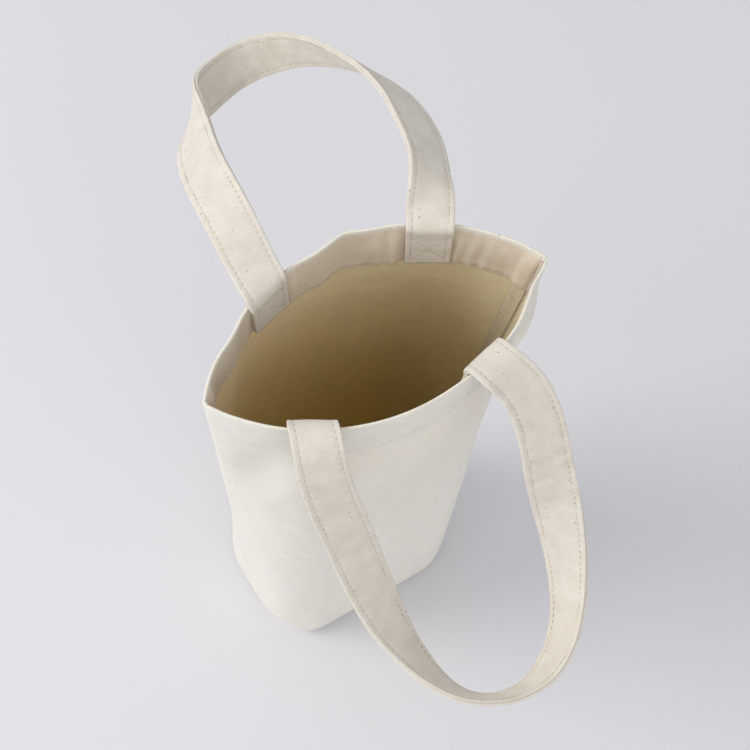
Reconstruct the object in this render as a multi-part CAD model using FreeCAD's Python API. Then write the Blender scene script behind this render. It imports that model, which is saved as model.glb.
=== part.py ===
"""A tall canvas carrier bag with a boxed base and two strap handles, as it stands open.

Millimetres, +Z up. The origin is the middle of the base, on the surface that the bag stands on.
X runs along the two wide panels and -Y is the front. Each panel is one cut of cloth: its wall bends
from a rounded half rectangle at the base to a bowed half of the open mouth, and its foot turns in
under the bag as half of the base.
"""

import FreeCAD, Part
import math
import os

V = FreeCAD.Vector

# Bag
BAG_HEIGHT = 320.0
MOUTH_SPAN = 149.0
FRONT_BOW = 35.5
BACK_BOW = 41.5
MOUTH_SHIFT_X = 6.0
MOUTH_SHIFT_Y = -11.0
BASE_LENGTH = 108.0
BASE_DEPTH = 77.0
BASE_CORNER = 22.0
BASE_TWIST = 5.0

# Cloth and seams
CLOTH = 1.0
PLY_GAP = 0.3
HEM_HEIGHT = 30.0
SEAM_WIDTH = 9.0
SEAM_FROM_CORNER = 3.5
SEAM_CLEARANCE = 0.4

# Straps
STRAP_WIDTH = 20.5
STRAP_THICKNESS = 2.4
STRAP_END_ABOVE_HEM = 1.0
ATTACH_SPREAD = 72.0
FRONT_ATTACH_SHIFT = -3.5
BACK_ATTACH_SHIFT = 2.5

# The line that a handle swings about runs above the rim's outer edge, where the strap folds over. The
# loop reaches a little past that line, and the sewn end stops short below it, pressed thinner at its edge.
FOLD_RISE = 6.0
FOLD_OUT = 3.0
FOLD_OVERLAP = 0.9
FOLD_GAP = 0.7
FOLD_EDGE = 1.0

# How far each loop hangs out from its swing line, and how far down
FRONT_REACH = 107.0
FRONT_DROP = 107.0
BACK_REACH = 134.0
BACK_DROP = 71.0

# The angle above level, in degrees, at which each loop leaves its swing line
FRONT_LEAVES_AT = 5.0
BACK_LEAVES_AT = 12.0

# Stations of a loop from its left root to its right one. Each has a place across as a share of half the
# spread, a place outwards as a share of the reach, a place upwards as a share of the drop, and the strap's
# turn in degrees: at 0 its inner edge points along +X, and at 90 along the loop's far edge direction.
FRONT_STATIONS = (
    (-1.00, 0.09, -0.03, 0),
    (-1.01, 0.16, -0.16, 2),
    (-0.99, 0.34, -0.46, 14),
    (-0.82, 0.70, -0.83, 50),
    (-0.35, 0.94, -0.97, 84),
    (0.22, 1.00, -1.00, 91),
    (0.78, 0.94, -0.97, 98),
    (1.22, 0.71, -0.83, 122),
    (1.33, 0.45, -0.48, 165),
    (1.25, 0.24, -0.16, 180),
    (1.10, 0.12, -0.03, 180),
)
BACK_STATIONS = (
    (-0.98, 0.07, 0.01, 6),
    (-1.01, 0.22, -0.05, 36),
    (-0.98, 0.42, -0.18, 41),
    (-0.87, 0.61, -0.37, 35),
    (-0.74, 0.73, -0.53, 46),
    (-0.53, 0.85, -0.76, 74),
    (-0.20, 0.95, -0.94, 91),
    (0.30, 1.00, -1.00, 92),
    (0.78, 0.96, -0.90, 104),
    (1.12, 0.86, -0.69, 128),
    (1.36, 0.68, -0.45, 140),
    (1.45, 0.46, -0.22, 135),
    (1.34, 0.24, -0.08, 138),
    (1.05, 0.07, 0.01, 174),
)
FRONT_FAR_EDGE = V(0.0, 0.40, -0.92)
BACK_FAR_EDGE = V(0.0, 0.60, 0.80)
LOOP_SECTIONS = 61

PANEL_POINTS = 17
SEWN_POINTS = 9
FRONT = -1
BACK = 1
LEFT = -1
RIGHT = 1


def spread_evenly(first, last, count):
    """Evenly spaced values from first to last."""
    return [first + (last - first) * i / (count - 1) for i in range(count)]


def base_outline(share):
    """Point and inward normal on the front half of the base's outline, from left seam to right."""
    half_length = BASE_LENGTH / 2
    half_depth = BASE_DEPTH / 2
    side = half_depth - BASE_CORNER
    corner = BASE_CORNER * math.pi / 2
    front = BASE_LENGTH - 2 * BASE_CORNER
    along = min(share, 1 - share) * (2 * side + 2 * corner + front)
    if along < side:
        point, normal = V(-half_length, -along, 0), V(1, 0, 0)
    elif along < side + corner:
        angle = (along - side) / BASE_CORNER
        normal = V(math.cos(angle), math.sin(angle), 0)
        point = V(BASE_CORNER - half_length, BASE_CORNER - half_depth, 0) - normal * BASE_CORNER
    else:
        point, normal = V(BASE_CORNER - half_length + along - side - corner, -half_depth, 0), V(0, 1, 0)
    if share > 0.5:
        point, normal = V(-point.x, point.y, 0), V(-normal.x, normal.y, 0)
    return point, normal


def mouth_outline(share, bow):
    """Point and inward normal on the front half of the mouth, an arc between its two corners."""
    half_span = MOUTH_SPAN / 2
    radius = (half_span ** 2 + bow ** 2) / (2 * bow)
    angle = (2 * share - 1) * math.asin(half_span / radius)
    normal = V(-math.sin(angle), math.cos(angle), 0)
    return V(0, radius - bow, 0) - normal * radius, normal


def set_in(point, normal, inset, share):
    """A point moved into the bag. At a side seam it stays on the seam's own plane."""
    if share in (0.0, 1.0):
        return point + V(inset / normal.x, 0, 0)
    return point + normal * inset


def bag_point(side, share, height, inset):
    """Point on one panel: share runs from the left seam to the right, height from base to rim."""
    low = set_in(*base_outline(share), inset, share)
    high = set_in(*mouth_outline(share, FRONT_BOW if side == FRONT else BACK_BOW), inset, share)
    if side == BACK:
        low.y = -low.y
        high.y = -high.y
    twist = math.radians(BASE_TWIST)
    along = V(math.cos(twist), math.sin(twist), 0)
    aside = V(-math.sin(twist), math.cos(twist), 0)
    low = along * low.x + aside * low.y
    high += V(MOUTH_SHIFT_X, MOUTH_SHIFT_Y, 0)
    level = (height - CLOTH) / (BAG_HEIGHT - CLOTH)
    point = low * (1 - level) + high * level
    return V(point.x, point.y, height)


def line_through(points):
    """A smooth edge through points, evenly spaced in its own measure."""
    curve = Part.BSplineCurve()
    curve.interpolate(Points=points, Parameters=spread_evenly(0.0, 1.0, len(points)))
    return curve.toShape()


def ring_between(outer, inner):
    """Closed outline between two rows of points."""
    far = Part.LineSegment(outer[-1], inner[-1]).toShape()
    near = Part.LineSegment(inner[0], outer[0]).toShape()
    return Part.Wire([line_through(outer), far, line_through(inner[::-1]), near])


def cloth_ring(side, shares, height, inset, thickness):
    """Outline of a layer of cloth at one height."""
    outer = [bag_point(side, share, height, inset) for share in shares]
    inner = [bag_point(side, share, height, inset + thickness) for share in shares]
    return ring_between(outer, inner)


def cloth_layer(side, shares, bottom, top, inset, thickness):
    """A layer of cloth that follows a panel from one height to another."""
    rings = [cloth_ring(side, shares, height, inset, thickness) for height in (bottom, top)]
    return Part.makeLoft(rings, True, True)


def panel_length():
    """Length of the cloth along the mouth from seam to seam, the mean of the two panels."""
    half_span = MOUTH_SPAN / 2
    lengths = []
    for bow in (FRONT_BOW, BACK_BOW):
        radius = (half_span ** 2 + bow ** 2) / (2 * bow)
        lengths.append(2 * radius * math.asin(half_span / radius))
    return sum(lengths) / 2


def panel(side):
    """One panel: the wall from seam to seam, and its half of the base."""
    shares = spread_evenly(0.0, 1.0, PANEL_POINTS)
    wall = cloth_layer(side, shares, CLOTH, BAG_HEIGHT, 0, CLOTH)
    outline = [bag_point(side, share, CLOTH, 0) for share in shares]
    closing = Part.LineSegment(outline[-1], outline[0]).toShape()
    foot = Part.Face(Part.Wire([line_through(outline), closing])).extrude(V(0, 0, -CLOTH))
    return wall.fuse(foot).removeSplitter()


def hem(side):
    """The top edge of a panel, turned in and sewn down."""
    shares = spread_evenly(0.0, 1.0, PANEL_POINTS)
    return cloth_layer(side, shares, BAG_HEIGHT - HEM_HEIGHT, BAG_HEIGHT, CLOTH + PLY_GAP, CLOTH)


def seam_floor():
    """Height of the top of the seam allowances that lie on the base."""
    return CLOTH + PLY_GAP + 2 * CLOTH


def side_seam(end):
    """Two plies of seam allowance, pressed to the back panel, from the base seams up to the hem."""
    near = SEAM_FROM_CORNER / panel_length()
    far = near + SEAM_WIDTH / panel_length()
    first, last = (near, far) if end == LEFT else (1 - far, 1 - near)
    bottom = seam_floor() + SEAM_CLEARANCE
    top = BAG_HEIGHT - HEM_HEIGHT - SEAM_CLEARANCE
    shares = spread_evenly(first, last, SEWN_POINTS)
    return cloth_layer(BACK, shares, bottom, top, CLOTH + PLY_GAP, 2 * CLOTH)


def flat_seam(length, width, middle):
    """Two plies of seam allowance that lie on the inside of the base."""
    corner = middle - V(length / 2, width / 2, 0) + V(0, 0, CLOTH + PLY_GAP)
    strip = Part.makeBox(length, width, 2 * CLOTH, corner)
    return strip.rotate(V(0, 0, 0), V(0, 0, 1), BASE_TWIST)


def base_seam():
    """The seam allowance along the middle of the base, pressed to the front."""
    length = BASE_LENGTH - 2 * (CLOTH + SEAM_WIDTH + 2 * SEAM_CLEARANCE)
    return flat_seam(length, SEAM_WIDTH, V(0, -SEAM_WIDTH / 2, 0))


def corner_seam(end):
    """The seam allowance across a boxed corner, at a short end of the base."""
    middle = V(end * (BASE_LENGTH / 2 - CLOTH - SEAM_CLEARANCE - SEAM_WIDTH / 2), 0, 0)
    return flat_seam(SEAM_WIDTH, BASE_DEPTH - 2 * BASE_CORNER, middle)


def attach_share(side, end):
    """Where the middle of a strap's end lies along the rim, from seam to seam."""
    bow = FRONT_BOW if side == FRONT else BACK_BOW
    shift = FRONT_ATTACH_SHIFT if side == FRONT else BACK_ATTACH_SHIFT
    half_span = MOUTH_SPAN / 2
    radius = (half_span ** 2 + bow ** 2) / (2 * bow)
    across = end * ATTACH_SPREAD / 2 + shift
    return 0.5 + math.asin(across / radius) / (2 * math.asin(half_span / radius))


def strap_inset():
    """How far inside the panel's outer face a sewn strap's outer face lies."""
    return 2 * (CLOTH + PLY_GAP)


def root(side, end):
    """Middle of the strap where it leaves the bag, on the line that the handle swings about."""
    middles = []
    for place in (LEFT, RIGHT):
        share = attach_share(side, place)
        middles.append(bag_point(side, share, BAG_HEIGHT, strap_inset() + STRAP_THICKNESS / 2))
    depth = (middles[0].y + middles[1].y) / 2 + side * FOLD_OUT
    across = middles[0].x if end == LEFT else middles[1].x
    return V(across, depth, BAG_HEIGHT + FOLD_RISE)


def strap_end(side, end):
    """A strap's sewn end: it lies on the hem, then rises past the rim and squares up to the swing line."""
    middle = attach_share(side, end)
    half = STRAP_WIDTH / 2 / panel_length()
    shares = spread_evenly(middle - half, middle + half, SEWN_POINTS)
    bottom = BAG_HEIGHT - HEM_HEIGHT + STRAP_END_ABOVE_HEM
    rings = [cloth_ring(side, shares, z, strap_inset(), STRAP_THICKNESS) for z in (bottom, BAG_HEIGHT)]
    top = root(side, end) - V(0, 0, STRAP_THICKNESS / 2 + FOLD_GAP)
    across = spread_evenly(-STRAP_WIDTH / 2, STRAP_WIDTH / 2, SEWN_POINTS)
    out = side * FOLD_EDGE / 2
    rings.append(ring_between([top + V(x, out, 0) for x in across], [top + V(x, -out, 0) for x in across]))
    return Part.makeLoft(rings, True, True)


def strap_section(centre, tangent, inner_edge):
    """Closed outline of the strap across its path, with its inner edge towards a direction."""
    across = inner_edge - tangent * inner_edge.dot(tangent)
    across.normalize()
    face = tangent.cross(across)
    half_width = across * (STRAP_WIDTH / 2)
    half_thickness = face * (STRAP_THICKNESS / 2)
    corners = [
        centre - half_width - half_thickness,
        centre + half_width - half_thickness,
        centre + half_width + half_thickness,
        centre - half_width + half_thickness,
    ]
    return Part.makePolygon(corners + corners[:1])


def loop(side, stations, outward, upward, leaves_at, far_edge):
    """A handle's free strap, which reaches a little past its swing line at each root."""
    left = root(side, LEFT)
    right = root(side, RIGHT)
    middle = (left + right) * 0.5
    points = [left]
    turns = [0]
    for across, out, up, turn in stations:
        points.append(middle + V(across * ATTACH_SPREAD / 2, side * out * outward, up * upward))
        turns.append(turn)
    points.append(right)
    turns.append(180)
    places = [0.0]
    for first, second in zip(points, points[1:]):
        places.append(places[-1] + (second - first).Length)
    leaving = math.radians(leaves_at)
    away = V(0, side * math.cos(leaving), math.sin(leaving))
    path = Part.BSplineCurve()
    path.interpolate(Points=points, Parameters=places, InitialTangent=away, FinalTangent=-away, Scale=False)
    turning = Part.BSplineCurve()
    turning.interpolate(Points=[V(place, 0, turn) for place, turn in zip(places, turns)], Parameters=places)
    sections = [strap_section(left - away * FOLD_OVERLAP, away, V(1, 0, 0))]
    for place in spread_evenly(0.0, places[-1], LOOP_SECTIONS):
        tangent = path.tangent(place)[0]
        turn = math.radians(turning.value(place).z)
        inner_edge = V(math.cos(turn), 0, 0) + far_edge * math.sin(turn)
        sections.append(strap_section(path.value(place), tangent, inner_edge))
    sections.append(strap_section(right - away * FOLD_OVERLAP, -away, V(-1, 0, 0)))
    print("loop length", round(path.length(), 1))
    return Part.makeLoft(sections, True, False)


def front_loop():
    """The front handle, folded over the rim and hanging out before the bag."""
    return loop(FRONT, FRONT_STATIONS, FRONT_REACH, FRONT_DROP, FRONT_LEAVES_AT, FRONT_FAR_EDGE)


def back_loop():
    """The back handle, folded over the rim and hanging out behind the bag."""
    return loop(BACK, BACK_STATIONS, BACK_REACH, BACK_DROP, BACK_LEAVES_AT, BACK_FAR_EDGE)


nodes = {
    "front_panel": panel(FRONT),
    "back_panel": panel(BACK),
    "front_hem": hem(FRONT),
    "back_hem": hem(BACK),
    "left_side_seam": side_seam(LEFT),
    "right_side_seam": side_seam(RIGHT),
    "base_seam": base_seam(),
    "left_corner_seam": corner_seam(LEFT),
    "right_corner_seam": corner_seam(RIGHT),
    "front_left_strap_end": strap_end(FRONT, LEFT),
    "front_right_strap_end": strap_end(FRONT, RIGHT),
    "back_left_strap_end": strap_end(BACK, LEFT),
    "back_right_strap_end": strap_end(BACK, RIGHT),
    "front_handle_strap": front_loop(),
    "back_handle_strap": back_loop(),
}

os.makedirs("parts", exist_ok=True)
for name, shape in nodes.items():
    shape.exportStep("parts/" + name + ".step")
    state = "valid" if shape.isValid() else "INVALID"
    print(name, state, len(shape.Solids), "solids", round(shape.Volume, 1), "mm3")
print("panel length", round(panel_length(), 1), "swing lines", root(FRONT, LEFT), root(BACK, LEFT))
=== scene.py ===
"""Looks of the canvas bottle carrier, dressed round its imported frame.

Shapes are worked out in millimetres, in the frame's axes: +Z up, X along the wide panels, -Y the front.
Each panel is one sheet of canvas that runs from the middle of the base up the wall, over the rim and
down inside as the hem. Each strap is one strip, from its sewn end round the loop to its other sewn end.
"""

import math

import bmesh
import bpy
import numpy as np
from mathutils import Matrix, Vector, noise


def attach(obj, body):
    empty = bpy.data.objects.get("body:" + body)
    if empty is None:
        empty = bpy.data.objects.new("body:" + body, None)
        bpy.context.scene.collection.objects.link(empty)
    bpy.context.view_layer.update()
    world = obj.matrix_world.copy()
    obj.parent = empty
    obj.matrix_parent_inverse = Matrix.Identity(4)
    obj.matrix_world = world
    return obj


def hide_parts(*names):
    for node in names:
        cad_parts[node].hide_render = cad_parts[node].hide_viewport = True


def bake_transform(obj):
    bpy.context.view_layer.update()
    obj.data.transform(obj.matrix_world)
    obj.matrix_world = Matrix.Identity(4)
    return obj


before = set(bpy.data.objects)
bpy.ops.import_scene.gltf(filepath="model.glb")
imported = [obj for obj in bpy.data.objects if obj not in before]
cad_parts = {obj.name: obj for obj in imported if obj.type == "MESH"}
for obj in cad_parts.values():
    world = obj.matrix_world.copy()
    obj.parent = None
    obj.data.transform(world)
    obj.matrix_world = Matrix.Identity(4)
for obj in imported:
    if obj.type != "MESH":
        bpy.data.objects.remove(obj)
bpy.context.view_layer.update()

MM = 0.001
FRONT = -1
BACK = 1
LEFT = -1
RIGHT = 1

# Bag, the same sizes as its solids
BAG_HEIGHT = 320.0
MOUTH_SPAN = 149.0
BOW = {FRONT: 35.5, BACK: 41.5}
MOUTH_SHIFT = np.array([6.0, -11.0])
BASE_LENGTH = 108.0
BASE_DEPTH = 77.0
BASE_CORNER = 22.0
BASE_TWIST = math.radians(5.0)
HEM_HEIGHT = 30.0
SEAM_WIDTH = 9.0

# Cloth of the panels
CLOTH = 0.6
PLY_GAP = 0.04
FOLD_RADIUS = 0.31
PANEL_WIDTH = 174.0
PANEL_COLUMNS = 150
BASE_ROWS = 9
TURN_ROWS = 9
WALL_ROWS = 84
HEM_ROWS = 20
RIM_DROP = 0.7
RIM_WAVE = 34.0

# The turn from wall to base, wider at the base's corners, and the corner that is pressed flat
FOOT_RADIUS = 5.0
CORNER_RADIUS = 12.0
CORNER_SHARE = 0.21
PRESSED_DEPTH = 5.0
PRESSED_BLEND = 0.6
PRESSED_SLOPE = (-0.85, -0.40, -0.35)

# How near to a side seam the cloth rolls in, turns to the seam's plane and is held from swaying. It is
# held at the foot too.
SEAM_ROLL = 1.3
ROLL_PLACES = np.array([0.0, 0.35, 0.8, 1.4, 2.2])
ROLL_END = 3.2
SEAM_PLANE = 2.5
SEAM_HOLD = 6.0
FOOT_HOLD = 18.0

# Soft waves of a wall: spacing and depth
LONG_WAVES = (62.0, 1.5)
SHORT_WAVES = (26.0, 0.45)

# The hem's line on the wall: its height above the hem's edge, the groove's depth and the step over the hem
HEM_LINE_RISE = 2.5
HEM_GROOVE = 0.35
HEM_STEP = 0.25

# Flutes along the hem: spacing, depth on each panel, drop below the rim and height
FLUTE_SPACING = 8.0
FLUTE_DEPTH = {FRONT: 0.25, BACK: 1.0}
FLUTE_DROP = 20.0
FLUTE_HEIGHT = 9.0

# Puckers of the turned hem, and its ridge over the side seams' allowance
PUCKER_SPACING = 12.0
PUCKER_DEPTH = 1.6
PUCKER_GATHER = 2.2
RIPPLE_SPACING = 4.0
RIPPLE_DEPTH = 0.5
RIDGE = 1.7
GATHER_SHARE = 0.15

# Seam allowances: two plies
STRIP_WIDTH = SEAM_WIDTH - 2.0
STRIP_BOTTOM = 5.0
STRIP_UNDER_HEM = 9.0
STRIP_ROWS = 170
STRIP_COLUMNS = 9
FLAT_SEAM_STEP = 1.5
FLAT_SEAM_COLUMNS = 8
TWO_PLIES = 1.5
BASE_SEAM_LENGTH = BASE_LENGTH - 24.0

# Straps
STRAP_WIDTH = 20.5
STRAP_THICKNESS = 2.4
STRAP_STEP = 1.1
STRAP_GAP = 0.12
ATTACH_SPREAD = 72.0
ATTACH_SHIFT = {FRONT: -3.5, BACK: 2.5}
SEWN_BOTTOM = 291.5
SEWN_HEIGHTS = (SEWN_BOTTOM, 297.0, 303.0, 309.0, 315.0)
STITCH_INSET = 2.5
STITCH_ROW = STRAP_WIDTH / 2 - STITCH_INSET
STITCH_DENT = 0.16
STITCH_DIMPLE = 0.12
STRAP_SOFTNESS = 0.28
WRINKLE_DEPTH = 0.3
DRAWN_IN = 0.09
DRAWN_LENGTH = 48.0
PLY_GROOVE = 0.35
PLY_LIP = 0.14
EDGE_ROUND = 0.5
EDGE_DROP = 0.42
EDGE_PLACES = np.array([0.0, 0.10, 0.32, 0.7, 1.3, 1.9, 2.3, 2.7, 3.2])

# Thread
STITCH_PITCH = 2.7
STITCH_LENGTH = 1.9
THREAD = 0.36
HEM_THREAD = 0.44
HEM_STITCH_RISE = 1.5
OVERLOCK_THREAD = 0.38
OVERLOCK_PITCH = 2.0
BOX_LOW = 3.0
BOX_HIGH = 22.0

# The loops' stations, from the left root to the right one: across as a share of half the spread, outwards
# as a share of the reach, upwards as a share of the drop, and the turn in degrees. They keep near to the
# solids' stations and are set closer to the photograph where the straps leave the rim.
SWING_HEIGHT = 326.0
SWING_DEPTH = {FRONT: -38.9, BACK: 22.3}
REACH = {FRONT: (107.0, 107.0), BACK: (134.0, 71.0)}
FAR_EDGE = {FRONT: np.array([0.0, 0.40, -0.92]), BACK: np.array([0.0, 0.60, 0.80])}
STATIONS = {
    FRONT: (
        (-1.11, 0.14, -0.14, -8),
        (-1.03, 0.30, -0.44, 0),
        (-0.82, 0.65, -0.87, 40),
        (-0.38, 0.94, -0.96, 80),
        (0.26, 1.01, -1.00, 103),
        (0.76, 0.95, -0.97, 109),
        (1.23, 0.72, -0.84, 119),
        (1.32, 0.52, -0.61, 138),
        (1.29, 0.37, -0.34, 171),
        (1.14, 0.11, -0.05, 186),
    ),
    BACK: (
        (-1.03, 0.21, 0.00, 16),
        (-1.01, 0.43, -0.10, 25),
        (-0.86, 0.62, -0.34, 34),
        (-0.72, 0.73, -0.52, 50),
        (-0.50, 0.85, -0.74, 78),
        (-0.16, 0.94, -0.90, 102),
        (0.31, 0.99, -0.95, 106),
        (0.76, 0.97, -0.90, 111),
        (1.15, 0.86, -0.73, 120),
        (1.37, 0.68, -0.47, 130),
        (1.45, 0.46, -0.21, 136),
        (1.365, 0.25, -0.05, 140),
        (1.14, 0.08, 0.03, 150),
    ),
}

# How far a sewn end stands off its place along the rim, at the rim and at its bottom
SEWN_SHIFT = {
    (FRONT, LEFT): (-1.0, 0.0),
    (FRONT, RIGHT): (0.0, 0.0),
    (BACK, LEFT): (-0.4, 2.2),
    (BACK, RIGHT): (-0.3, 2.0),
}
# Where a strap comes over the rim: its rise, its turn towards the rim's own normal, and its reach
NECK = {
    (FRONT, LEFT): (2.6, 0.5, 4.5),
    (FRONT, RIGHT): (3.4, 1.0, 4.6),
    (BACK, LEFT): (3.0, 0.1, 4.5),
    (BACK, RIGHT): (3.4, 1.0, 4.0),
}
# The strap just inside the rim and on top of it: outwards and upwards from the rim
NECK_INSIDE = (-2.5, 1.0)
NECK_TOP = (0.4, 2.9)
NECK_TURN = 0.2
# Small cross wrinkles on a loop: the place along the strap and their length
WRINKLES = {FRONT: (330.0, 16.0), BACK: (222.0, 20.0)}

# Camera, at the photograph's view
CAMERA_PLACE = Vector((-0.1338, -0.2417, 0.9434))
CAMERA_RIGHT = Vector((0.9007, -0.4327, 0.0393))
CAMERA_UP = Vector((0.3891, 0.8434, 0.3704))
CAMERA_LENS = 84.04

# Light: each lamp's name, width, power and place, what both are aimed at, and the sky's strength
LAMPS = (
    ("key", 0.9, 13.0, (-1.15, 0.50, 1.40)),
    ("fill", 1.8, 5.0, (0.25, -1.60, 0.95)),
)
LAMP_AIM = Vector((0.0, -0.03, 0.2))
SKY_STRENGTH = 0.74
SKY_LEAN = (-0.28, 0.0, 0.0)
FLOOR_REACH = 6000.0


# Small helpers

def unit(v):
    """Vectors of length 1, along the last axis."""
    length = np.linalg.norm(v, axis=-1, keepdims=True)
    return v / np.maximum(length, 1e-9)


def bump(x, middle, width):
    """A smooth hump of height 1."""
    return np.exp(-((x - middle) / width) ** 2)


def wander(points, size, seed):
    """Smooth noise from about -1 to 1 at points in millimetres, with features of a size."""
    shift = Vector((seed * 17.3, seed * 5.1, seed * 9.7))
    flat = points.reshape(-1, 3)
    values = [noise.noise(Vector(p) / size + shift) for p in flat]
    return np.array(values).reshape(points.shape[:-1])


def ripple(places, spacing, second, third):
    """Smooth noise along a row of places, with two more values that tell one row from another."""
    return np.array([noise.noise(Vector((place / spacing, second, third))) for place in places])


def travel(points):
    """Length along a line of points, up to each of them."""
    return np.concatenate([[0.0], np.cumsum(np.linalg.norm(np.diff(points, axis=0), axis=1))])


def level(directions):
    """Flat directions as directions in space."""
    return np.column_stack([directions, np.zeros(len(directions))])


def smooth_curve(places, values, at):
    """A natural cubic spline through values at places, read at other places."""
    places = np.asarray(places, float)
    values = np.asarray(values, float)
    count = len(places)
    step = np.diff(places)
    system = np.eye(count)
    right = np.zeros_like(values)
    for i in range(1, count - 1):
        system[i, i - 1:i + 2] = step[i - 1], 2 * (step[i - 1] + step[i]), step[i]
        rise = (values[i + 1] - values[i]) / step[i] - (values[i] - values[i - 1]) / step[i - 1]
        right[i] = 6 * rise
    bend = np.linalg.solve(system, right)
    i = np.clip(np.searchsorted(places, at) - 1, 0, count - 2)
    a = ((places[i + 1] - at) / step[i])[:, None]
    b = 1 - a
    h = step[i][:, None]
    curved = ((a ** 3 - a) * bend[i] + (b ** 3 - b) * bend[i + 1]) * h * h / 6
    return a * values[i] + b * values[i + 1] + curved


def make_object(name, points, faces, uvs=None, smooth=True, coats=None):
    """A mesh object from points in millimetres. uvs are in millimetres too, one per point.

    coats gives each face the number of its material.
    """
    mesh = bpy.data.meshes.new(name)
    mesh.from_pydata((np.asarray(points) * MM).tolist(), [], faces)
    if coats is not None:
        mesh.polygons.foreach_set("material_index", coats)
    if uvs is not None:
        layer = mesh.uv_layers.new(name="cloth")
        loops = np.array([loop.vertex_index for loop in mesh.loops])
        layer.data.foreach_set("uv", np.asarray(uvs, np.float32)[loops].ravel())
    form = bmesh.new()
    form.from_mesh(mesh)
    bmesh.ops.remove_doubles(form, verts=form.verts, dist=2e-6)
    bmesh.ops.dissolve_degenerate(form, edges=form.edges, dist=1e-6)
    bmesh.ops.recalc_face_normals(form, faces=form.faces)
    form.to_mesh(mesh)
    form.free()
    for face in mesh.polygons:
        face.use_smooth = smooth
    obj = bpy.data.objects.new(name, mesh)
    bpy.context.scene.collection.objects.link(obj)
    return obj


def grid_faces(rows, columns, first=0, flip=False):
    """Quads of a grid whose points are numbered row by row."""
    faces = []
    for r in range(rows - 1):
        for c in range(columns - 1):
            a = first + r * columns + c
            quad = (a, a + 1, a + columns + 1, a + columns)
            faces.append(quad[::-1] if flip else quad)
    return faces


def closed_sheet(name, middle, normals, thickness, uv, turned_row=None):
    """A sheet of cloth with two faces and four closed edges, about the grid of its middle surface.

    The face that the normals point away from has material 1. The other face has material 2 from a turned
    row on, and all else has material 0.
    """
    rows, columns = middle.shape[:2]
    half = normals * (np.asarray(thickness)[..., None] / 2)
    points = np.concatenate([(middle + half).reshape(-1, 3), (middle - half).reshape(-1, 3)])
    count = rows * columns
    faces = grid_faces(rows, columns) + grid_faces(rows, columns, count, flip=True)
    border = list(range(columns))
    border += [r * columns + columns - 1 for r in range(1, rows)]
    border += [(rows - 1) * columns + c for c in range(columns - 2, -1, -1)]
    border += [r * columns for r in range(rows - 2, 0, -1)]
    plain = (columns - 1) * (rows - 1 if turned_row is None else turned_row)
    face_count = (rows - 1) * (columns - 1)
    coats = [0] * plain + [2] * (face_count - plain) + [1] * face_count + [0] * len(border)
    for a, b in zip(border, border[1:] + border[:1]):
        faces.append((b, a, a + count, b + count))
    return make_object(name, points, faces, np.concatenate([uv.reshape(-1, 2)] * 2), coats=coats)


def grid_normals(grid, outward):
    """Unit normals of a grid, on the side that a field of rough directions points to."""
    along = np.gradient(grid, axis=0)
    across = np.gradient(grid, axis=1)
    normal = unit(np.cross(along, across))
    side = np.sign((normal * outward).sum(-1, keepdims=True))
    side[side == 0] = 1
    return normal * side


# The bag's walls

def base_outline(share):
    """Point and inward normal on the front half of the base's outline, from left seam to right."""
    half_length = BASE_LENGTH / 2
    half_depth = BASE_DEPTH / 2
    side = half_depth - BASE_CORNER
    corner = BASE_CORNER * math.pi / 2
    front = BASE_LENGTH - 2 * BASE_CORNER
    along = min(share, 1 - share) * (2 * side + 2 * corner + front)
    if along < side:
        point, normal = (-half_length, -along), (1.0, 0.0)
    elif along < side + corner:
        angle = (along - side) / BASE_CORNER
        normal = (math.cos(angle), math.sin(angle))
        point = (BASE_CORNER * (1 - normal[0]) - half_length, BASE_CORNER * (1 - normal[1]) - half_depth)
    else:
        point, normal = (BASE_CORNER - half_length + along - side - corner, -half_depth), (0.0, 1.0)
    if share > 0.5:
        point, normal = (-point[0], point[1]), (-normal[0], normal[1])
    return point, normal


def mouth_outline(share, bow):
    """Point and inward normal on the front half of the mouth, an arc between its two corners."""
    half_span = MOUTH_SPAN / 2
    radius = (half_span ** 2 + bow ** 2) / (2 * bow)
    angle = (2 * share - 1) * math.asin(half_span / radius)
    normal = (-math.sin(angle), math.cos(angle))
    return (-normal[0] * radius, radius - bow - normal[1] * radius), normal


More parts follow.
